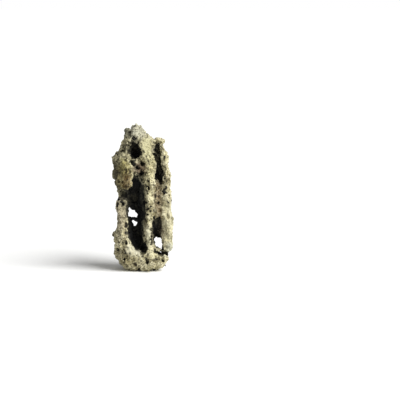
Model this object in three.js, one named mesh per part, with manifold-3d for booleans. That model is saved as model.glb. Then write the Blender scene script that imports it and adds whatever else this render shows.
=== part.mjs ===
// Aquascaping rock: one upright stone, weathered into ribs, long channels, caves and pits.
// Millimetres, +Z up. The front faces -Y. The origin is on the resting face, under the middle of the stone.
import * as THREE from "three";
import { ImprovedNoise } from "three/addons/math/ImprovedNoise.js";
import { mergeVertices } from "three/addons/utils/BufferGeometryUtils.js";
import Module from "manifold-3d";

const wasm = await Module();
wasm.setup();

// Driving dimensions of the whole stone
const HEIGHT = 250;
const WIDTH = 106;
const DEPTH = 80;

// Shares of the driving dimensions that the places below are written in:
// across is -1 at the left edge and 1 at the right, deep is -1 at the front and 1 at the back,
// up is 0 at the resting face and 1 at the peak.
const HALF_WIDTH = WIDTH / 2;
const HALF_DEPTH = DEPTH / 2;
const place = (across, deep, up) =>
  new THREE.Vector3(across * HALF_WIDTH, deep * HALF_DEPTH, up * HEIGHT);

// The core behind the ribs, at rising heights: [up, left, right, front, back], as shares.
// The first level lies under the resting face and is trimmed off.
const CORE = [
  [-0.05, -0.3, 0.25, -0.4, 0.4],
  [0.0, -0.46, 0.48, -0.7, 0.64],
  [0.03, -0.64, 0.7, -0.86, 0.8],
  [0.08, -0.84, 0.86, -0.96, 0.9],
  [0.13, -0.92, 0.88, -0.9, 0.92],
  [0.18, -0.88, 0.86, -0.62, 0.9],
  [0.24, -0.8, 0.86, -0.44, 0.88],
  [0.38, -0.72, 0.86, -0.34, 0.86],
  [0.5, -0.72, 0.86, -0.32, 0.86],
  [0.6, -0.78, 0.8, -0.34, 0.84],
  [0.72, -0.82, 0.76, -0.4, 0.82],
  [0.79, -0.78, 0.72, -0.45, 0.78],
  [0.84, -0.56, 0.66, -0.5, 0.72],
  [0.88, -0.42, 0.56, -0.5, 0.64],
  [0.92, -0.36, 0.34, -0.45, 0.58],
  [0.955, -0.4, 0.14, -0.36, 0.46],
  [0.985, -0.32, -0.04, -0.2, 0.26],
];
const CORE_SIDES = 22;
const CORE_LEVELS = 24;
const CORE_BOXINESS = 0.75;

// Weathering: lumps and knobs that raise every surface, and a wander that bends the whole stone
const RELIEF = [
  { size: 26, height: 6 },
  { size: 14, height: 5 },
];
const WANDER = [
  { size: 34, shift: 4.5 },
  { size: 12, shift: 2.4 },
];

const noise = new ImprovedNoise();

const noiseAt = (point, size, far = 0) => noise.noise(point.x / size + far, point.y / size, point.z / size);

// Height of the lumps and knobs at a point, in millimetres
const relief = (point) => RELIEF.reduce((sum, { size, height }) => sum + height * noiseAt(point, size), 0);

// Bends a point aside, by noise read at three far places so that the three directions differ
const FAR_PLACES = [0, 100, 200];
function wander(point) {
  for (const { size, shift } of WANDER) {
    const aside = FAR_PLACES.map((far) => shift * noiseAt(point, size, far));
    point.add(new THREE.Vector3(...aside));
  }
}

// A closed three.js geometry as a solid for joining and cutting
const MERGE_DISTANCE = 1e-4;
function solidOf(geometry) {
  geometry.deleteAttribute("normal");
  geometry.deleteAttribute("uv");
  const merged = mergeVertices(geometry, MERGE_DISTANCE);
  return new wasm.Manifold(
    new wasm.Mesh({
      numProp: 3,
      vertProperties: merged.attributes.position.array,
      triVerts: new Uint32Array(merged.index.array),
    }),
  );
}

// A solid as a three.js geometry
function geometryOf(solid) {
  const { vertProperties, triVerts } = solid.getMesh();
  const geometry = new THREE.BufferGeometry();
  geometry.setAttribute("position", new THREE.BufferAttribute(vertProperties, 3));
  geometry.setIndex(new THREE.BufferAttribute(triVerts, 1));
  return geometry;
}

// Moves every vertex of a geometry to where reshape(point) puts it
function reshaped(geometry, reshape) {
  const position = geometry.attributes.position;
  const point = new THREE.Vector3();
  for (let i = 0; i < position.count; i++) {
    reshape(point.fromBufferAttribute(position, i));
    position.setXYZ(i, point.x, point.y, point.z);
  }
  return geometry;
}

// The core: a drum whose levels follow the outline
function core() {
  const levels = CORE.map(([up]) => up);
  const edges = CORE.flatMap((row) => row.slice(1));
  const outline = new THREE.CubicInterpolant(levels, edges, 4, new Float64Array(4));
  const boxy = (c) => Math.sign(c) * Math.abs(c) ** CORE_BOXINESS;
  const drum = new THREE.CylinderGeometry(1, 1, 1, CORE_SIDES, CORE_LEVELS);
  return reshaped(drum, (p) => {
    const turn = Math.atan2(p.x, p.z);
    const spread = Math.hypot(p.x, p.z);
    const up = THREE.MathUtils.lerp(levels[0], levels.at(-1), p.y + 0.5);
    const [left, right, front, back] = outline.evaluate(up);
    const across = (boxy(Math.sin(turn)) * spread * (right - left)) / 2;
    const deep = (boxy(-Math.cos(turn)) * spread * (back - front)) / 2;
    const outward = place(across, deep, 0);
    p.copy(place((left + right) / 2, (front + back) / 2, up)).add(outward);
    p.addScaledVector(outward.normalize(), relief(p));
  });
}

// A closed, round-ended body along a path, for what stands proud and for what is hollow.
// Each stop is [across, deep, up, half width, half depth]: the place in shares, the sizes in millimetres.
// The half depth is measured along facing, and the half width square to it and to the path.
const BODY_AROUND = 9;
const RIB_STEP = 9;
const HOLLOW_STEP = 16;
const BODY_LEAST_RINGS = 7;
const BLUNTNESS = 5;
const FULL_RELIEF_RADIUS = 12;
function bodyAlong(stops, facing, step) {
  const path = new THREE.CatmullRomCurve3(stops.map(([across, deep, up]) => place(across, deep, up)));
  const sizes = new THREE.CatmullRomCurve3(
    stops.map(([, , , wide, deep]) => new THREE.Vector3(wide, deep, 0)),
  );
  const rings = Math.max(BODY_LEAST_RINGS, Math.round(path.getLength() / step));
  const deepWay = new THREE.Vector3();
  const wideWay = new THREE.Vector3();
  return reshaped(new THREE.SphereGeometry(1, BODY_AROUND, rings), (p) => {
    const along = Math.acos(THREE.MathUtils.clamp(p.y, -1, 1)) / Math.PI;
    const turn = Math.atan2(p.x, p.z);
    const tangent = path.getTangent(along);
    const size = sizes.getPoint(along);
    const blunt = Math.sqrt(Math.max(0, 1 - Math.abs(2 * along - 1) ** BLUNTNESS));
    deepWay.copy(facing).addScaledVector(tangent, -facing.dot(tangent)).normalize();
    wideWay.crossVectors(tangent, deepWay);
    const outward = new THREE.Vector3()
      .addScaledVector(wideWay, Math.cos(turn) * size.x * blunt)
      .addScaledVector(deepWay, Math.sin(turn) * size.y * blunt);
    const reach = Math.min(1, outward.length() / FULL_RELIEF_RADIUS);
    p.copy(path.getPoint(along)).add(outward);
    p.addScaledVector(outward.normalize(), reach * relief(p));
  });
}

const INTO = new THREE.Vector3(0, 1, 0);
const UPWARD = new THREE.Vector3(0, 0, 1);

// Ribs, lobes and knobs of the front
const FRONT_RELIEF = {
  leftLobe: [
    [-0.52, -0.34, 0.83, 9, 13],
    [-0.63, -0.44, 0.75, 16.5, 20],
    [-0.59, -0.48, 0.67, 16.5, 21],
    [-0.61, -0.52, 0.585, 13, 17],
    [-0.52, -0.6, 0.525, 5, 9],
  ],
  leftStrut: [
    [-0.7, -0.4, 0.525, 7, 11],
    [-0.66, -0.5, 0.45, 11, 16],
    [-0.61, -0.54, 0.35, 10.5, 17],
    [-0.67, -0.54, 0.25, 12, 17],
    [-0.64, -0.48, 0.12, 15, 17],
  ],
  centreRib: [
    [0.0, -0.24, 0.94, 11, 12],
    [0.14, -0.52, 0.85, 12, 15],
    [0.23, -0.62, 0.73, 12.5, 15],
    [0.26, -0.63, 0.63, 11, 15],
    [0.25, -0.63, 0.49, 9.5, 14],
    [0.24, -0.63, 0.35, 8.5, 14],
    [0.23, -0.63, 0.25, 7, 13],
    [0.2, -0.62, 0.15, 6, 13],
  ],
  rightRib: [
    [0.56, -0.16, 0.905, 9.5, 10],
    [0.69, -0.28, 0.85, 8.5, 14],
    [0.8, -0.36, 0.76, 7.5, 18],
    [0.82, -0.4, 0.66, 8, 19],
    [0.8, -0.44, 0.56, 10, 19],
    [0.84, -0.44, 0.42, 10.5, 19],
    [0.87, -0.44, 0.28, 10.5, 19],
    [0.89, -0.42, 0.17, 9.5, 18],
    [0.87, -0.4, 0.115, 7, 13],
  ],
  grooveFill: [
    [0.54, -0.4, 0.64, 6, 12],
    [0.5, -0.44, 0.55, 9, 13],
    [0.5, -0.46, 0.43, 9, 13],
    [0.5, -0.42, 0.34, 7, 11],
  ],
  horn: [
    [-0.48, -0.44, 0.78, 7, 11],
    [-0.42, -0.4, 0.86, 7, 12],
    [-0.38, -0.3, 0.92, 7.5, 11],
    [-0.4, -0.22, 0.97, 6, 8],
  ],
  brow: [
    [-0.16, -0.5, 0.895, 11, 14],
    [-0.2, -0.32, 0.945, 9, 13],
    [-0.17, -0.12, 1.0, 4.5, 8],
  ],
  bridge: [
    [-0.16, -0.48, 0.78, 9, 12],
    [-0.14, -0.5, 0.72, 10, 12],
    [-0.06, -0.48, 0.66, 8, 11],
  ],
  lip: [
    [-0.74, -0.44, 0.24, 9, 15],
    [-0.53, -0.5, 0.15, 13, 17],
    [-0.16, -0.54, 0.08, 13, 17],
    [0.22, -0.5, 0.06, 10, 16],
  ],
  footKnob: [
    [0.16, -0.52, 0.09, 9, 14],
    [0.48, -0.52, 0.075, 11, 16],
    [0.8, -0.3, 0.07, 8, 13],
  ],
  spike: [
    [-0.8, -0.1, 0.262, 6, 6],
    [-0.9, -0.12, 0.25, 4.5, 4.5],
    [-1.0, -0.14, 0.242, 1.5, 1.5],
  ],
};

// Ribs of the sides and the back
const BACK_RELIEF = {
  leftSideRib: [
    [-0.7, 0.0, 0.57, 8, 12],
    [-0.62, 0.34, 0.44, 8, 15],
    [-0.66, 0.24, 0.26, 8, 17],
    [-0.66, 0.16, 0.08, 9, 14],
  ],
  rightSideRib: [
    [0.6, 0.1, 0.82, 7, 12],
    [0.78, 0.3, 0.64, 8, 15],
    [0.84, 0.44, 0.46, 8, 13],
    [0.82, 0.3, 0.22, 8, 17],
    [0.7, 0.2, 0.06, 8, 14],
  ],
  crest: [
    [0.32, 0.06, 0.86, 9, 14],
    [0.14, 0.14, 0.905, 9, 13],
    [-0.06, 0.16, 0.95, 6, 9],
  ],
  backLeftRib: [
    [-0.3, 0.4, 0.92, 8, 10],
    [-0.56, 0.56, 0.78, 12, 15],
    [-0.5, 0.72, 0.62, 11, 11],
    [-0.3, 0.76, 0.46, 8, 9],
  ],
  backMiddleRib: [
    [0.06, 0.5, 0.88, 9, 11],
    [0.18, 0.72, 0.7, 11, 12],
    [0.1, 0.76, 0.52, 10, 11],
    [0.18, 0.74, 0.3, 11, 12],
    [0.04, 0.62, 0.1, 12, 12],
  ],
  backFootRib: [
    [-0.6, 0.62, 0.42, 7, 9],
    [-0.48, 0.72, 0.26, 11, 12],
    [-0.44, 0.64, 0.1, 13, 13],
  ],
};

// What weather has hollowed out
const HOLLOW = {
  eyeCave: [
    [-0.3, -0.9, 0.905, 7, 28],
    [-0.26, -0.92, 0.86, 13, 38],
    [-0.22, -0.96, 0.805, 14.5, 40],
    [-0.17, -0.98, 0.765, 9, 30],
  ],
  lobeCrevice: [
    [-0.3, -0.96, 0.78, 3, 18],
    [-0.32, -1.0, 0.7, 3.5, 20],
    [-0.28, -1.0, 0.62, 5, 24],
  ],
  centreChannel: [
    [-0.12, -0.9, 0.67, 8, 24],
    [-0.18, -0.9, 0.6, 13, 40],
    [-0.22, -0.9, 0.52, 15, 50],
    [-0.22, -0.9, 0.43, 16, 52],
    [-0.2, -0.9, 0.34, 16, 52],
    [-0.18, -0.9, 0.26, 17, 52],
    [-0.12, -0.9, 0.185, 15, 46],
    [0.02, -0.92, 0.125, 9, 30],
  ],
  rightGrooveTop: [
    [0.44, -0.74, 0.885, 6, 22],
    [0.48, -0.8, 0.82, 7.5, 28],
    [0.57, -0.82, 0.75, 8, 28],
    [0.58, -0.84, 0.69, 7, 25],
    [0.54, -0.9, 0.63, 4.5, 16],
  ],
  rightGrooveFoot: [
    [0.48, -0.94, 0.37, 5, 17],
    [0.48, -0.94, 0.3, 7, 29],
    [0.53, -0.94, 0.24, 9, 35],
    [0.57, -0.92, 0.18, 9, 35],
    [0.6, -0.86, 0.13, 5, 22],
  ],
  ribNick: [
    [0.14, -1.0, 0.36, 2.5, 6],
    [0.2, -1.02, 0.33, 3.5, 7],
    [0.22, -1.0, 0.28, 2.5, 5],
  ],
  backCave: [
    [-0.2, 0.86, 0.76, 6, 14],
    [-0.22, 0.92, 0.68, 10, 24],
    [-0.12, 0.96, 0.58, 6, 14],
  ],
  backScoop: [
    [-0.4, 0.98, 0.48, 5, 12],
    [-0.3, 1.0, 0.4, 9, 20],
    [-0.22, 0.98, 0.3, 9, 20],
    [-0.14, 0.96, 0.2, 6, 14],
  ],
  backRightCave: [
    [0.42, 0.92, 0.42, 4, 10],
    [0.48, 0.94, 0.28, 8, 18],
    [0.5, 0.9, 0.14, 8, 18],
  ],
  backRightGroove: [
    [0.4, 0.8, 0.86, 4, 10],
    [0.52, 0.92, 0.7, 6, 15],
    [0.5, 0.98, 0.56, 5, 12],
  ],
  leftSideCave: [
    [-0.96, 0.1, 0.5, 7, 5],
    [-0.98, 0.02, 0.4, 10, 7],
    [-0.98, 0.06, 0.3, 6, 5],
  ],
  rightSideCave: [
    [1.0, 0.0, 0.6, 6, 5],
    [1.02, -0.04, 0.5, 8, 6],
    [1.02, 0.02, 0.36, 7, 6],
  ],
};

// Slots that run across the front
const SLOT = {
  underLobe: [
    [-1.0, -0.8, 0.55, 6, 14],
    [-0.7, -0.9, 0.535, 9, 24],
    [-0.34, -0.9, 0.51, 9, 26],
  ],
  underRightRib: [
    [0.34, -0.9, 0.145, 4, 20],
    [0.62, -0.86, 0.125, 4, 26],
    [1.14, -0.6, 0.1, 6, 24],
  ],
};

// Windows that go right through, falling and widening towards the back
const WINDOW_FALL = 0.055;
const WINDOW_FLARE = 1;
const windowAt = (across, up, wide, tall) => [
  [across, -0.5, up, wide, tall],
  [across, 0.3, up - WINDOW_FALL / 2, wide, tall],
  [across, 1.2, up - WINDOW_FALL, wide + WINDOW_FLARE, tall + WINDOW_FLARE],
];
const WINDOW = {
  upper: windowAt(-0.31, 0.41, 6.5, 9),
  upperTip: windowAt(-0.38, 0.435, 4.5, 8),
  lower: windowAt(-0.225, 0.342, 4.5, 6.5),
  right: windowAt(0.57, 0.205, 8, 14),
  rightTip: windowAt(0.65, 0.18, 4.5, 14),
};

// Larger pits seen on the front: [across, up, radius in millimetres]
const FRONT_PITS = [
  [-0.38, 0.93, 3],
  [-0.16, 0.705, 3.6],
  [0.02, 0.715, 3],
  [0.05, 0.68, 3.2],
  [0.18, 0.594, 2.8],
  [0.2, 0.552, 2.6],
  [0.17, 0.43, 2.8],
  [0.13, 0.385, 3.2],
  [-0.63, 0.45, 3],
  [-0.66, 0.375, 2.6],
  [-0.74, 0.275, 2.8],
  [-0.63, 0.19, 4.6],
  [-0.56, 0.1, 3.8],
  [0.22, 0.09, 3.2],
  [0.6, 0.07, 3.2],
  [0.74, 0.58, 3],
  [0.69, 0.63, 3.2],
  [0.78, 0.44, 2.8],
];

// Smaller pits all round, taller than wide, spread by the golden angle.
// Each is aimed from outside the stone, at that many half widths and half depths from its middle.
const PIT_COUNT = 18;
const OUTSIDE = 2;
const PIT_RADIUS = { least: 2.4, most: 4.4 };
const PIT_STRETCH = 1.6;
const PIT_REACH = { low: 0.04, high: 0.95 };
const GOLDEN_ANGLE = Math.PI * (3 - Math.sqrt(5));
const GOLDEN_SHARE = 0.618;

// A pit: a many-sided ball, taller than wide, sunk where a line from outside first meets the stone
function pit(target, from, towards, radius) {
  const [hit] = new THREE.Raycaster(from, towards.normalize()).intersectObject(target);
  if (!hit) return [];
  const ball = new THREE.IcosahedronGeometry(radius, 0);
  ball.rotateX(from.z);
  ball.scale(1, 1, PIT_STRETCH);
  ball.translate(hit.point.x, hit.point.y, hit.point.z);
  return [solidOf(ball)];
}

function pits(solid) {
  const target = new THREE.Mesh(geometryOf(solid));
  const front = FRONT_PITS.flatMap(([across, up, radius]) =>
    pit(target, place(across, -OUTSIDE, up), INTO.clone(), radius),
  );
  const round = Array.from({ length: PIT_COUNT }, (_, i) => {
    const turn = i * GOLDEN_ANGLE;
    const up = THREE.MathUtils.lerp(PIT_REACH.low, PIT_REACH.high, (i + 0.5) / PIT_COUNT);
    const from = place(OUTSIDE * Math.cos(turn), OUTSIDE * Math.sin(turn), up);
    const radius = THREE.MathUtils.lerp(PIT_RADIUS.least, PIT_RADIUS.most, (i * GOLDEN_SHARE) % 1);
    return pit(target, from, place(0, 0, up).sub(from), radius);
  });
  return [...front, ...round.flat()];
}

// The ground, whose top is the plane that the stone rests on, reaching well past the stone
const GROUND_REACH = 4;
function ground() {
  const block = new THREE.BoxGeometry(GROUND_REACH * WIDTH, GROUND_REACH * DEPTH, HEIGHT);
  block.translate(0, 0, -HEIGHT / 2);
  return solidOf(block);
}

// The stone: ribs joined to the core, hollows and pits cut, all bent a little, and the foot trimmed flat
function stone() {
  let solid = solidOf(core());
  for (const stops of Object.values({ ...FRONT_RELIEF, ...BACK_RELIEF })) {
    solid = solid.add(solidOf(bodyAlong(stops, INTO, RIB_STEP)));
  }
  for (const stops of Object.values({ ...HOLLOW, ...SLOT })) {
    solid = solid.subtract(solidOf(bodyAlong(stops, INTO, HOLLOW_STEP)));
  }
  for (const stops of Object.values(WINDOW)) {
    solid = solid.subtract(solidOf(bodyAlong(stops, UPWARD, HOLLOW_STEP)));
  }
  for (const hole of pits(solid)) {
    solid = solid.subtract(hole);
  }
  solid = solidOf(reshaped(geometryOf(solid), wander));
  return solid.subtract(ground());
}

// The finished shape, centred over the origin and brought to the driving dimensions
function finished(geometry) {
  geometry.computeBoundingBox();
  const middle = geometry.boundingBox.getCenter(new THREE.Vector3());
  const size = geometry.boundingBox.getSize(new THREE.Vector3());
  geometry.translate(-middle.x, -middle.y, 0);
  geometry.scale(WIDTH / size.x, DEPTH / size.y, HEIGHT / size.z);
  geometry.computeVertexNormals();
  return geometry;
}

const stoneMaterial = new THREE.MeshStandardMaterial({
  color: 0xa49c7c,
  roughness: 0.92,
  metalness: 0,
});

const rock = new THREE.Mesh(finished(geometryOf(stone())), stoneMaterial);
rock.name = "rock";

const aquascapingRock = new THREE.Group();
aquascapingRock.add(rock);

export default aquascapingRock;
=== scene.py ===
# %% [markdown]
# # A weathered aquascaping rock
# The real object is one upright stone that water has eaten into long ribs, a deep channel, caves and pits.
# The solid that is loaded here has its true size and main forms in flat facets.
# This lesson takes a copy of it, sculpts the weathered skin and gives it the colours of old limestone.

# %% Load the solid and measure it
import math

import bpy
import numpy as np
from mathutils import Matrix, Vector
from mathutils.bvhtree import BVHTree


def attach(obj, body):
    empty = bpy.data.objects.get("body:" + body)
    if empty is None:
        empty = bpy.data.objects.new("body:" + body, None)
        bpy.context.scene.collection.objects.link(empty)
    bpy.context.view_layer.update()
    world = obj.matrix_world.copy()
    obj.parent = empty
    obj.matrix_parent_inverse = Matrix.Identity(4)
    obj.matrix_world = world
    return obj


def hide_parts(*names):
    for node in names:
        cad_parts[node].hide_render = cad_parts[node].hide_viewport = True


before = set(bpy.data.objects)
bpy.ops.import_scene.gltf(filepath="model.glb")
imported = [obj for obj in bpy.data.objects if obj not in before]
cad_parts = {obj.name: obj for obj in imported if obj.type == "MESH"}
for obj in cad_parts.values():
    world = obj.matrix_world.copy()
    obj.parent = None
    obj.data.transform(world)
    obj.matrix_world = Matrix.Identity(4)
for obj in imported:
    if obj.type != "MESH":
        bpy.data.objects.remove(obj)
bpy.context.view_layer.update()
MM = 0.001

# %% [markdown]
# ## The camera
# The stone was photographed from the front, a little from above and from some distance.
# A camera could be placed by eye, but here three facts fix it: how steeply it looks down, how far away it
# stands and how wide the picture is at the stone. A long lens then follows from the last two.

# %% Camera
LOOKS_DOWN = math.radians(8)
CAMERA_DISTANCE = 2.6
PICTURE_WIDTH = 0.684
STONE_LEFT_OF_MIDDLE = 0.0975
MIDDLE_ABOVE_FOOT = 0.1172

to_camera = Vector((0, -math.cos(LOOKS_DOWN), math.sin(LOOKS_DOWN)))
picture_up = Vector((0, math.sin(LOOKS_DOWN), math.cos(LOOKS_DOWN)))
camera_place = to_camera * CAMERA_DISTANCE + picture_up * MIDDLE_ABOVE_FOOT
aim = Vector((STONE_LEFT_OF_MIDDLE, 0, 0)) + picture_up * MIDDLE_ABOVE_FOOT
bpy.ops.object.camera_add(
    location=camera_place,
    rotation=(aim - camera_place).to_track_quat("-Z", "Y").to_euler(),
)
camera = bpy.context.object
camera.data.lens = camera.data.sensor_width * CAMERA_DISTANCE / PICTURE_WIDTH
bpy.context.scene.camera = camera
print("lens in mm:", round(camera.data.lens, 1))

# %% [markdown]
# ## Light and floor
# A plain studio: one broad lamp high on the right in front, a dim room, and a pale floor.
# A sun lamp with a wide angle gives soft shadows and lights the whole floor evenly.
# The room is kept dim for the stone, so that its hollows stay dark, and bright where the camera sees it.

# %% Light and floor
SUN_FROM = Vector((0.8, -0.55, 0.85))
SUN_STRENGTH = 4.6
SUN_WIDTH = math.radians(45)
ROOM_LIGHT = 0.32
FLOOR_HALF = 30.0
FLOOR_COLOUR = (0.9, 0.9, 0.89, 1)
FLOOR_ROUGHNESS = 0.9

bpy.ops.object.light_add(type="SUN", rotation=SUN_FROM.to_track_quat("Z", "Y").to_euler())
sun = bpy.context.object
sun.data.energy = SUN_STRENGTH
sun.data.angle = SUN_WIDTH

room = bpy.data.worlds.new("pale_room")
bpy.context.scene.world = room
room.use_nodes = True
background = room.node_tree.nodes["Background"]
ray = room.node_tree.nodes.new("ShaderNodeLightPath")
seen_or_lit = room.node_tree.nodes.new("ShaderNodeMapRange")
seen_or_lit.inputs["To Min"].default_value = ROOM_LIGHT
room.node_tree.links.new(ray.outputs["Is Camera Ray"], seen_or_lit.inputs["Value"])
room.node_tree.links.new(seen_or_lit.outputs["Result"], background.inputs["Strength"])
background.inputs["Color"].default_value = (1, 1, 1, 1)

bpy.ops.mesh.primitive_plane_add(size=2 * FLOOR_HALF)
floor = bpy.context.object
floor.name = "floor"
floor_paint = bpy.data.materials.new("pale_floor")
floor_paint.use_nodes = True
floor_shader = floor_paint.node_tree.nodes["Principled BSDF"]
floor_shader.inputs["Base Color"].default_value = FLOOR_COLOUR
floor_shader.inputs["Roughness"].default_value = FLOOR_ROUGHNESS
floor.data.materials.append(floor_paint)
bpy.context.scene.view_settings.view_transform = "Standard"
print("floor is", floor.dimensions.x, "m wide")

# %% [markdown]
# ## The block to sculpt
# A sculptor starts from a rough block. Ours is a copy of the solid, so its size and main forms are right.
# The solid arrives with every triangle loose. Merging their corners makes it one closed surface.

# %% Copy the solid and merge its triangles
MERGE_WITHIN = 0.01 * MM


def only(thing):
    """Makes one thing selected and active, so that operators act on nothing else."""
    bpy.ops.object.select_all(action="DESELECT")
    thing.select_set(True)
    bpy.context.view_layer.objects.active = thing


stone = bpy.data.objects.new("weathered_stone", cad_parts["rock"].data.copy())
bpy.context.scene.collection.objects.link(stone)
only(stone)
bpy.ops.object.mode_set(mode="EDIT")
bpy.ops.mesh.select_all(action="SELECT")
bpy.ops.mesh.remove_doubles(threshold=MERGE_WITHIN)
bpy.ops.object.mode_set(mode="OBJECT")
print("block:", len(stone.data.vertices), "points,", len(stone.data.polygons), "faces")

# %% [markdown]
# ## Knobs and fuller places
# The front has small knobs, a thick lip under the lower cave and a thin bar between two windows.
# They could be sculpted by hand, but balls are quicker: stretched, and half sunk in the block.
# The voxel step afterwards melts everything into one skin, so the balls may overlap freely.

# %% Knobs on the front
# Each knob: across and up in millimetres, radius, and how tall it is for its width.
KNOBS = [
    (-12, 187, 6, 0.9),
    (-3, 181, 6, 0.9),
    (-9, 171, 5, 1.2),
    (3, 174, 4.5, 1),
    (-24, 172, 9, 1.7),
    (-25, 153, 8, 1.6),
    (12, 28, 7, 0.9),
    (24, 24, 6.5, 1),
    (36, 22, 6, 1),
    (15, 14, 6.5, 0.9),
    (29, 12, 6, 0.9),
    (-26, 236, 5, 1.4),
    (-27, 228, 4.5, 1.2),
    (-15, 238, 5, 1.1),
    (9, 228, 5, 0.8),
    (27, 222, 6, 0.9),
    (32, 219, 5.5, 1),
    (22, 200, 6, 0.4),
    (17, 181, 6, 3),
    (-44, 40, 6, 1),
]
# Fuller places: across, how far in and up in millimetres, then half width, half depth and half height.
FILLS = {
    "upper lip": (-26, -22, 48, 5, 11, 9),
    "middle lip": (-21, -22, 39, 6, 11, 7),
    "lower lip": (-14, -22, 31, 6.5, 11, 6),
    "bar between the windows": (-14, 11, 86, 10, 13, 3),
    "over the right window": (24, 10, 62, 9, 12, 5),
}
OUTSIDE = -0.2


def on_front(across, up):
    """The place where a ray that flies in from the front meets the stone."""
    return stone.ray_cast((across * MM, OUTSIDE, up * MM), (0, 1, 0))[1]


def ball(across, inward, up, half_width, half_depth, half_height):
    """A stretched ball, at a place and with half sizes in millimetres."""
    place = Vector((across, inward, up)) * MM
    bpy.ops.mesh.primitive_ico_sphere_add(subdivisions=3, radius=MM, location=place)
    made = bpy.context.object
    made.scale = (half_width, half_depth, half_height)
    bpy.ops.object.transform_apply(scale=True)
    return made


def join(things):
    """Makes the things one object, the first of them."""
    only(things[0])
    for thing in things[1:]:
        thing.select_set(True)
    bpy.ops.object.join()
    return things[0]


knobs = [ball(*sizes) for sizes in FILLS.values()]
for across, up, radius, tallness in KNOBS:
    front = on_front(across, up).y / MM
    knobs.append(ball(across, front, up, radius, radius, radius * tallness))
join([stone, *knobs])
print("block with knobs:", len(stone.data.polygons), "faces")

# %% [markdown]
# ## One skin for all
# The facets and the knobs have to become one even skin that can take fine detail.
# A voxel remesh does that: it fills the shape with small cubes and wraps them in a fresh skin of squares.

# %% Voxel skin
VOXEL = 1.2 * MM


def apply_modifier(kind, name, **settings):
    """Adds a modifier to the stone, sets it up and applies it."""
    modifier = stone.modifiers.new(name, kind)
    for setting, value in settings.items():
        setattr(modifier, setting, value)
    only(stone)
    bpy.ops.object.modifier_apply(modifier=name)


def wrap_in_skin():
    """Gives the stone a fresh skin of even squares."""
    apply_modifier("REMESH", "skin", mode="VOXEL", voxel_size=VOXEL)


wrap_in_skin()
print("skin:", len(stone.data.polygons), "faces")

# %% [markdown]
# ## Holes, grooves and windows
# Some hollows show as clear dark shapes: a pocket under the left lobe, the caves, and the larger pits.
# Each is cut by a Boolean with a ball, stretched as the hollow is. The back and sides get long grooves too.
# The windows have corners, so they are cut with straight bars that run along the camera's line of sight.
# A second skin closes the cuts, and a little smoothing melts sharp edges, as water does.

# %% Cut holes
# Each hole: across, how far in and up in millimetres, then its half width, half depth and half height.
HOLES = {
    "pocket under the lobe": (-36, -30, 132, 15, 28, 8),
    "pocket's way to the channel": (-22, -28, 127, 8, 24, 7),
    "lower cave's end": (0, -28, 41, 7.5, 22, 11),
    "cave near the top": (-13, -22, 204, 10.5, 30, 14),
    "right groove's top": (24, -22, 206, 5, 22, 10),
    "centre rib's hollow side": (-2, -38, 112, 9.5, 24, 62),
    "left groove of the back": (24, 44, 160, 5.5, 17, 52),
    "middle groove of the back": (3, 46, 84, 6.5, 17, 58),
    "right groove of the back": (-34, 40, 150, 5.5, 16, 50),
    "low groove of the back": (27, 42, 66, 5, 15, 34),
    "groove of the right side": (55, 10, 128, 15, 5, 58),
    "low groove of the right side": (56, 26, 60, 17, 5, 40),
    "groove of the left side": (-54, 14, 100, 16, 5.5, 62),
    "high groove of the left side": (-48, 2, 196, 14, 5, 26),
}
# Each window: the depth that its cut starts at, and its corners (across and up) as seen from the front.
WINDOWS = {
    "triangle": (-5, [(-25, 114), (-8, 98), (-11, 93), (-25, 96.5)]),
    "small window": (-5, [(-16, 90), (-11, 89.5), (-8.7, 84), (-11, 78.5), (-15, 79), (-18, 85)]),
    "leaning window": (-28, [(16, 55), (30, 61), (34, 49), (32, 38), (27, 42)]),
}
# Depths of the stone's front, where the corners are measured, and of a place behind the stone.
FRONT = -33
BEHIND = 60
# The larger dark pits, cut where they meet the front: across, up, half width and half height.
DARK_PITS = [
    (-1, 184, 3.6, 3.4),
    (-9, 177, 4.0, 4.0),
    (-1, 170, 4.6, 4.6),
    (9.5, 154, 2.4, 3.2),
    (9.5, 143, 2.2, 2.6),
    (8.5, 109, 2.6, 3.0),
    (7.5, 98, 2.2, 2.6),
    (12, 74, 2.2, 3.6),
    (-34, 116, 2.2, 2.2),
    (-34, 50, 3.0, 2.6),
    (-32, 22, 2.6, 2.4),
    (33, 18, 2.6, 2.4),
    (44, 130, 2.0, 3.0),
    (26, 117, 2.2, 3.6),
    (37, 160, 2.0, 3.0),
]
DARK_PIT_DEPTH = 11
WORN_SHARE = 0.5
WORN_PASSES = 3


def prism(start, corners):
    """A bar along the line of sight, from a depth to behind the stone, with corners given at the front."""
    bpy.ops.mesh.primitive_cylinder_add(vertices=len(corners), rotation=(math.radians(90), 0, 0))
    made = bpy.context.object
    bpy.ops.object.transform_apply(rotation=True)
    for vertex in made.data.vertices:
        across, up = corners[vertex.index // 2]
        inward = start if vertex.co.y < 0 else BEHIND
        sunk = math.tan(LOOKS_DOWN) * (inward - FRONT)
        vertex.co = Vector((across, inward, up - sunk)) * MM
    bpy.ops.object.mode_set(mode="EDIT")
    bpy.ops.mesh.select_all(action="SELECT")
    bpy.ops.mesh.normals_make_consistent(inside=False)
    bpy.ops.object.mode_set(mode="OBJECT")
    return made


def cut_away(cutter):
    """Cuts a shape out of the stone and throws the shape away."""
    apply_modifier("BOOLEAN", "hole", operation="DIFFERENCE", object=cutter, solver="MANIFOLD")
    bpy.data.objects.remove(cutter)


for sizes in HOLES.values():
    cut_away(ball(*sizes))
for start, corners in WINDOWS.values():
    cut_away(prism(start, corners))
pits = []
for across, up, half_width, half_height in DARK_PITS:
    front = on_front(across, up).y / MM
    pits.append(ball(across, front, up, half_width, DARK_PIT_DEPTH, half_height))
cut_away(join(pits))
wrap_in_skin()
apply_modifier("SMOOTH", "worn", factor=WORN_SHARE, iterations=WORN_PASSES)
print("block with holes:", len(stone.data.polygons), "faces")

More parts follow.
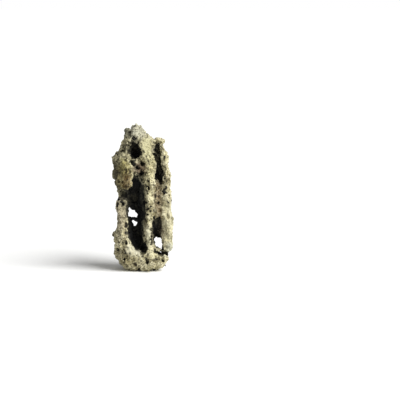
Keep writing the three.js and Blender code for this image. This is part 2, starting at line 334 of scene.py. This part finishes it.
# %% [markdown]
# ## Lumps and grain
# Weathered limestone is uneven at every scale. A Displace modifier pushes the skin in and out by a texture,
# so one modifier for each scale is enough: lumps as wide as a thumb, knuckles as wide as a pencil, grain.

# %% Lumps and grain
# Each scale: its name, how wide its lumps are and how high they may rise, in millimetres.
ROUGHNESS = [
    ("lumps", 15, 3.5),
    ("knuckles", 5.6, 6.4),
    ("grain", 2.5, 2.2),
]
for name, size, height in ROUGHNESS:
    texture = bpy.data.textures.new(name, "CLOUDS")
    texture.noise_scale = size * MM
    apply_modifier(
        "DISPLACE",
        name,
        texture=texture,
        texture_coords="LOCAL",
        strength=height * MM,
        mid_level=0.5,
    )
print("rough box in mm:", [round(v / MM) for v in stone.dimensions])

# %% [markdown]
# ## Pits
# The stone is pricked all over with pits from the size of a pea down to a pinhead.
# Booleans would be slow for thousands of them. A cell pattern gives them all at once: each cell has a
# middle point, a random number decides how large its pit is, and the skin sinks near the middle.
# Geometry Nodes sink the skin and also keep the pattern as an attribute, for the painted shade in the pits
# later.

# %% Pit nodes
# Each kind: its name, how wide a cell is and how deep a pit is in millimetres, the widest pit as a share
# of its cell, and the smallest as a share of the widest.
PITS = [
    ("cups", 9.5, 2.6, 0.75, 0.75),
    ("wide_pits", 7.0, 3.4, 0.62, 0.0),
    ("small_pits", 4.6, 2.4, 0.45, 0.4),
]
PIT_TALLNESS = 1.5
FEWER_WIDE = 1.6
FLAT_MIDDLE = 0.3


def add(tree, kind, values=None, **settings):
    """Adds a node, sets its options, and fills its inputs with values or links."""
    node = tree.nodes.new(kind)
    for setting, value in settings.items():
        setattr(node, setting, value)
    for socket, value in (values or {}).items():
        if isinstance(value, bpy.types.NodeSocket):
            tree.links.new(value, node.inputs[socket])
        else:
            node.inputs[socket].default_value = value
    return node


def math_node(tree, operation, a, b=0.0):
    """One sum on numbers or fields."""
    return add(tree, "ShaderNodeMath", {0: a, 1: b}, operation=operation).outputs[0]


def pit_tree(name, cell, depth, widest, evenness):
    """A node tree that sinks a pit in the middle of each cell and stores where the pits are."""
    tree = bpy.data.node_groups.new(name, "GeometryNodeTree")
    tree.interface.new_socket("Geometry", in_out="INPUT", socket_type="NodeSocketGeometry")
    tree.interface.new_socket("Geometry", in_out="OUTPUT", socket_type="NodeSocketGeometry")
    start = tree.nodes.new("NodeGroupInput")
    end = tree.nodes.new("NodeGroupOutput")
    where = add(tree, "GeometryNodeInputPosition").outputs[0]
    outward = add(tree, "GeometryNodeInputNormal").outputs[0]
    wobble = add(tree, "ShaderNodeTexNoise", {"Vector": where, "Scale": 1 / (cell * MM), "Detail": 1.0})
    shift = add(
        tree,
        "ShaderNodeVectorMath",
        {0: wobble.outputs["Color"], 1: (0.5, 0.5, 0.5)},
        operation="SUBTRACT",
    )
    moved = add(
        tree,
        "ShaderNodeVectorMath",
        {0: shift.outputs[0], 1: (cell * MM,) * 3, 2: where},
        operation="MULTIPLY_ADD",
    )
    squeezed = add(
        tree,
        "ShaderNodeVectorMath",
        {0: moved.outputs[0], 1: (1, 1, 1 / PIT_TALLNESS)},
        operation="MULTIPLY",
    )
    cells = add(tree, "ShaderNodeTexVoronoi", {"Vector": squeezed.outputs[0], "Scale": 1 / (cell * MM)})
    chance = add(tree, "ShaderNodeSeparateXYZ", {0: cells.outputs["Color"]}).outputs[0]
    rim = add(
        tree,
        "ShaderNodeMapRange",
        {
            "Value": math_node(tree, "POWER", chance, FEWER_WIDE),
            "To Min": widest * evenness,
            "To Max": widest,
        },
    ).outputs["Result"]
    inside = add(
        tree,
        "ShaderNodeMapRange",
        {
            "Value": cells.outputs["Distance"],
            "From Min": math_node(tree, "MULTIPLY", rim, FLAT_MIDDLE),
            "From Max": rim,
            "To Min": 1.0,
            "To Max": 0.0,
        },
        interpolation_type="SMOOTHSTEP",
    ).outputs["Result"]
    sink = math_node(tree, "MULTIPLY", math_node(tree, "MULTIPLY", inside, rim), -depth * MM / widest)
    offset = add(tree, "ShaderNodeVectorMath", {0: outward, "Scale": sink}, operation="SCALE")
    stored = add(
        tree,
        "GeometryNodeStoreNamedAttribute",
        {"Geometry": start.outputs[0], "Name": name, "Value": inside},
        data_type="FLOAT",
        domain="POINT",
    )
    sunk = add(
        tree,
        "GeometryNodeSetPosition",
        {"Geometry": stored.outputs[0], "Offset": offset.outputs[0]},
    )
    tree.links.new(sunk.outputs[0], end.inputs[0])
    return tree


for name, cell, depth, widest, evenness in PITS:
    apply_modifier("NODES", name, node_group=pit_tree(name, cell, depth, widest, evenness))
print("attributes:", [a.name for a in stone.data.attributes])

# %% [markdown]
# ## The foot
# The stone stands on a flat foot. Sculpting may have pushed points below the floor or lifted them,
# so every point near the foot is put back on the plane.

# %% Flat foot
FOOT_BAND = 1.0 * MM
points = np.zeros(len(stone.data.vertices) * 3, np.float32)
stone.data.vertices.foreach_get("co", points)
points = points.reshape(-1, 3)
points[points[:, 2] < FOOT_BAND, 2] = 0
stone.data.vertices.foreach_set("co", points.ravel())
stone.data.update()
print("points on the foot:", int((points[:, 2] == 0).sum()))

# %% [markdown]
# ## How open each place is
# The colours paint shade deep in the caves and in the channel, where little light gets in.
# A ray from each point in many directions tells how much of the open room it sees.
# That share is stored on the mesh, so the colours can use it.

# %% Openness
LOOK_DIRECTIONS = 48
LOOK_DISTANCE = 0.09
STEP_OFF = 0.6 * MM
GRAZING = 0.1
GOLDEN_ANGLE = math.pi * (3 - math.sqrt(5))


def look_direction(i):
    """One of many directions that are spread evenly over a ball."""
    z = 1 - (2 * i + 1) / LOOK_DIRECTIONS
    level = math.sqrt(1 - z * z)
    return Vector((level * math.cos(i * GOLDEN_ANGLE), level * math.sin(i * GOLDEN_ANGLE), z))


directions = [look_direction(i) for i in range(LOOK_DIRECTIONS)]
skin = BVHTree.FromObject(stone, bpy.context.evaluated_depsgraph_get())
openness = np.zeros(len(stone.data.vertices), np.float32)
for vertex in stone.data.vertices:
    start = vertex.co + vertex.normal * STEP_OFF
    seen = total = 0.0
    for direction in directions:
        facing = vertex.normal.dot(direction)
        if facing > GRAZING:
            total += facing
            if skin.ray_cast(start, direction, LOOK_DISTANCE)[0] is None:
                seen += facing
    openness[vertex.index] = seen / total
stone.data.attributes.new("openness", "FLOAT", "POINT").data.foreach_set("value", openness)
print("openness: mean", round(float(openness.mean()), 2))

# %% [markdown]
# ## How deep each place lies
# The caves and the channel are darkest at their backs, and the colours paint shade there. If a cloth were
# stretched round the stone, those places would lie far under it. The convex hull is such a cloth: a point's
# distance to it is its depth.

# %% Depth under a stretched cloth
cloth = bpy.data.objects.new("cloth", stone.data.copy())
bpy.context.scene.collection.objects.link(cloth)
only(cloth)
bpy.ops.object.mode_set(mode="EDIT")
bpy.ops.mesh.select_all(action="SELECT")
bpy.ops.mesh.convex_hull()
bpy.ops.object.mode_set(mode="OBJECT")
wrap = BVHTree.FromObject(cloth, bpy.context.evaluated_depsgraph_get())
depth = np.array([wrap.find_nearest(vertex.co)[3] for vertex in stone.data.vertices], np.float32)
stone.data.attributes.new("depth", "FLOAT", "POINT").data.foreach_set("value", depth)
bpy.data.objects.remove(cloth)
print("deepest place in mm:", round(float(depth.max()) / MM))

# %% [markdown]
# ## A soft patch
# Old limestone has patches of olive, yellow, brown and grey. They could be painted on by hand.
# Here a patch is a soft ball of colour at a place in the stone, with a ragged edge.
# All patches share one node group, so the ragged edge is made only once.

# %% Patch group
RAGGED = 9 * MM
FADES_OUT_AT = 1.25
FULL_WITHIN = 0.45

patch_group = bpy.data.node_groups.new("soft_patch", "ShaderNodeTree")
patch_group.interface.new_socket("Vector", in_out="INPUT", socket_type="NodeSocketVector")
patch_group.interface.new_socket("Centre", in_out="INPUT", socket_type="NodeSocketVector")
patch_group.interface.new_socket("Reach", in_out="INPUT", socket_type="NodeSocketVector")
patch_group.interface.new_socket("Mask", in_out="OUTPUT", socket_type="NodeSocketFloat")
patch_in = patch_group.nodes.new("NodeGroupInput")
patch_out = patch_group.nodes.new("NodeGroupOutput")
ragged = add(
    patch_group,
    "ShaderNodeTexNoise",
    {"Vector": patch_in.outputs["Vector"], "Scale": 1 / RAGGED, "Detail": 3.0},
)
aside = add(
    patch_group,
    "ShaderNodeVectorMath",
    {0: ragged.outputs["Color"], 1: (2 * RAGGED,) * 3, 2: (-RAGGED,) * 3},
    operation="MULTIPLY_ADD",
)
moved = add(
    patch_group,
    "ShaderNodeVectorMath",
    {0: patch_in.outputs["Vector"], 1: aside.outputs[0]},
    operation="ADD",
)
from_centre = add(
    patch_group,
    "ShaderNodeVectorMath",
    {0: moved.outputs[0], 1: patch_in.outputs["Centre"]},
    operation="SUBTRACT",
)
shares = add(
    patch_group,
    "ShaderNodeVectorMath",
    {0: from_centre.outputs[0], 1: patch_in.outputs["Reach"]},
    operation="DIVIDE",
)
away = add(patch_group, "ShaderNodeVectorMath", {0: shares.outputs[0]}, operation="LENGTH")
mask = add(
    patch_group,
    "ShaderNodeMapRange",
    {"Value": away.outputs["Value"], "From Min": FADES_OUT_AT, "From Max": FULL_WITHIN},
    interpolation_type="SMOOTHSTEP",
)
patch_group.links.new(mask.outputs["Result"], patch_out.inputs["Mask"])
print("patch group:", len(patch_group.nodes), "nodes")

# %% [markdown]
# ## The stone's colours
# The stone is tan; its pits get painted shade in dark brown and its caves painted shade that is nearly
# black.
# The colours are laid one over another, as a painter glazes: body colour, patches, speckle and painted
# shade in pits, then painted highlights on lit ribs and the lip, painted shade in the hollows, and dark
# washes last, mostly painted shade.
# A painted texture would need unwrapping. Glazes work in the stone itself, so all sides get them.

# %% Stone material
TAN = (0.28, 0.245, 0.13, 1)
PALE = (0.50, 0.455, 0.265, 1)
CREST = (0.66, 0.62, 0.43, 1)
# BROWN serves the dark speckle and the painted shade in pits and pinholes
BROWN = (0.045, 0.033, 0.020, 1)
# Near black painted shade for the caves, the channel and other places that little light reaches
PAINTED_SHADE_BLACK = (0.006, 0.006, 0.005, 1)
STONE_ROUGHNESS = 0.92
DARK_MIDDLE = 0.4
# Each patch: centre and reach in millimetres, and its colour, whose last number is how thickly it is laid.
PATCHES = {
    "olive lobe": ((-34, -22, 163), (20, 30, 40), (0.11, 0.098, 0.035, 0.75)),
    "brown of the lobe": ((-27, -38, 156), (9, 16, 18), (0.19, 0.12, 0.045, 0.7)),
    "yellow of the lobe": ((-29, -34, 182), (11, 18, 16), (0.36, 0.33, 0.13, 0.75)),
    "yellow rib": ((9, -30, 196), (15, 22, 62), (0.44, 0.40, 0.21, 0.75)),
    "grey top": ((-10, -10, 242), (28, 40, 22), (0.38, 0.38, 0.31, 0.65)),
    "brown valley": ((26, -22, 122), (9, 16, 46), (0.23, 0.16, 0.08, 0.75)),
    "olive base": ((-28, -26, 22), (20, 22, 16), (0.24, 0.20, 0.09, 0.75)),
    "red groove": ((26, -8, 66), (12, 24, 20), (0.10, 0.06, 0.045, 0.75)),
    "brown strut": ((-38, -20, 98), (13, 28, 42), (0.27, 0.23, 0.15, 0.75)),
}
# The same for painted highlights on lit ribs, the lip and a tooth; they also cover most pits.
PAINTED_HIGHLIGHTS = {
    "right rib": ((44, -24, 82), (14, 26, 42), (0.52, 0.49, 0.33, 0.45)),
    "rib end": ((46, -22, 37), (13, 28, 14), (0.44, 0.455, 0.375, 0.5)),
    "lip": ((-12, -34, 40), (20, 18, 13), (0.60, 0.58, 0.46, 0.55)),
    "rib under the peak": ((7, -28, 212), (11, 20, 26), (0.44, 0.42, 0.25, 0.55)),
    "tooth": ((10, -32, 60), (7, 16, 18), (0.55, 0.53, 0.38, 0.55)),
}
# The wall between the channel and the centre rib, which faces away from the lamp: dark olive laid over the
# painted shade of the hollows, its olive colour and painted shade.
SHADED_OLIVE_SIDE = ((-2, -20, 116), (6, 13, 50), (0.085, 0.085, 0.05, 0.7))
# The same for dark washes, laid last: what lies under them shows through, darker. Those on the lobe, its
# left side, the pocket and the flank are painted shade; on the lobe also its olive colour.
SHADE_AND_DARK_WASHES = {
    # The lobe darker and more olive: its own olive colour and painted shade, as it faces away from the lamp
    "lobe": ((-33, -30, 158), (17, 24, 34), (0.62, 0.56, 0.36, 0.8)),
    # Painted shade on the lobe's left side, away from the lamp
    "lobe's dark side": ((-51, -30, 168), (14, 26, 38), (0.16, 0.15, 0.11, 0.9)),
    "knob": ((-5, -38, 176), (14, 18, 15), (0.20, 0.13, 0.12, 0.9)),
    # Painted shade, near black, in the pocket under the lobe
    "pocket": ((-37, -20, 131), (18, 30, 10), (0.01, 0.01, 0.01, 0.97)),
    "horn": ((-26, -16, 237), (9, 20, 14), (0.20, 0.20, 0.17, 0.9)),
    # Painted shade on the left flank, away from the lamp
    "flank": ((-36, -16, 212), (12, 22, 20), (0.22, 0.21, 0.15, 0.85)),
}

limestone = bpy.data.materials.new("limestone")
limestone.use_nodes = True
tree = limestone.node_tree
shader = tree.nodes["Principled BSDF"]
shader.inputs["Roughness"].default_value = STONE_ROUGHNESS
here = add(tree, "ShaderNodeTexCoord").outputs["Object"]


def noise(size, detail=2.0):
    """A soft random pattern whose blotches are about that many millimetres wide."""
    inputs = {"Vector": here, "Scale": 1 / (size * MM), "Detail": detail}
    return add(tree, "ShaderNodeTexNoise", inputs).outputs[0]


def ramp(value, low, high):
    """A value turned into a mask: 0 at low, 1 at high, smooth between."""
    return add(
        tree,
        "ShaderNodeMapRange",
        {"Value": value, "From Min": low, "From Max": high},
        interpolation_type="SMOOTHSTEP",
    ).outputs["Result"]


def share(mask, most):
    """A mask that reaches no more than that share."""
    return math_node(tree, "MULTIPLY", mask, most)


def glaze(under, over, mask, blend="MIX"):
    """One colour laid over another where the mask is 1, either covering it or darkening it."""
    inputs = {0: mask, 6: under, 7: over}
    return add(tree, "ShaderNodeMix", inputs, data_type="RGBA", blend_type=blend).outputs[2]


def stored(name):
    """A value stored on the mesh."""
    return add(tree, "ShaderNodeAttribute", attribute_name=name).outputs["Fac"]


def pinholes(cell, widest):
    """Small round dots, one in each cell, as a mask for painted shade in pinholes. They are finer than the
    mesh can show.
    """
    cells = add(tree, "ShaderNodeTexVoronoi", {"Vector": here, "Scale": 1 / (cell * MM)})
    chance = add(tree, "ShaderNodeSeparateXYZ", {0: cells.outputs["Color"]}).outputs[0]
    rim = math_node(tree, "MULTIPLY", chance, widest)
    return ramp(cells.outputs["Distance"], rim, math_node(tree, "MULTIPLY", rim, DARK_MIDDLE))


def lay_patch(under, centre, reach, tint, blend="MIX"):
    """A soft patch of colour laid over the colours so far."""
    node = tree.nodes.new("ShaderNodeGroup")
    node.node_tree = patch_group
    tree.links.new(here, node.inputs["Vector"])
    node.inputs["Centre"].default_value = Vector(centre) * MM
    node.inputs["Reach"].default_value = Vector(reach) * MM
    return glaze(under, tint, share(node.outputs["Mask"], tint[3]), blend)


# Body colour in blotches, with paler ridges between the cups
colour = glaze(TAN, PALE, ramp(noise(14, 3.0), 0.40, 0.60))
colour = glaze(colour, CREST, share(ramp(stored("cups"), 0.25, 0.0), 0.45))
for spot in PATCHES.values():
    colour = lay_patch(colour, *spot)
# Pale and dark speckle, then painted shade in pinholes and pits
colour = glaze(colour, CREST, share(ramp(noise(2.6), 0.52, 0.62), 0.4))
colour = glaze(colour, BROWN, share(ramp(noise(2.4), 0.54, 0.62), 0.75))
colour = glaze(colour, BROWN, share(pinholes(3.8, 0.42), 0.9))
colour = glaze(colour, BROWN, share(stored("small_pits"), 0.9))
colour = glaze(colour, BROWN, share(stored("wide_pits"), 0.95))
# Painted highlights on lit ribs, the lip and a tooth
for spot in PAINTED_HIGHLIGHTS.values():
    colour = lay_patch(colour, *spot)
# Painted shade, near black, where little of the room is seen and where the stone lies deep
colour = glaze(colour, PAINTED_SHADE_BLACK, share(ramp(stored("openness"), 0.55, 0.15), 0.9))
colour = glaze(colour, PAINTED_SHADE_BLACK, ramp(stored("depth"), 14 * MM, 32 * MM))
# The channel's side wall in its olive colour and painted shade
colour = lay_patch(colour, *SHADED_OLIVE_SIDE)
# Dark washes; those on the lobe, its left side, the pocket and the flank are painted shade
for spot in SHADE_AND_DARK_WASHES.values():
    colour = lay_patch(colour, *spot, blend="MULTIPLY")
tree.links.new(colour, shader.inputs["Base Color"])
grain = add(
    tree,
    "ShaderNodeBump",
    {"Height": noise(1.3, 4.0), "Strength": 0.6, "Distance": 0.6 * MM},
)
tree.links.new(grain.outputs["Normal"], shader.inputs["Normal"])
stone.data.materials.clear()
stone.data.materials.append(limestone)
only(stone)
bpy.ops.object.shade_smooth()
print("material nodes:", len(tree.nodes))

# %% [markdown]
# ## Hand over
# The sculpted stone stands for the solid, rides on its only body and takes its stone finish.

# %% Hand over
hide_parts("rock")
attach(stone, "root")
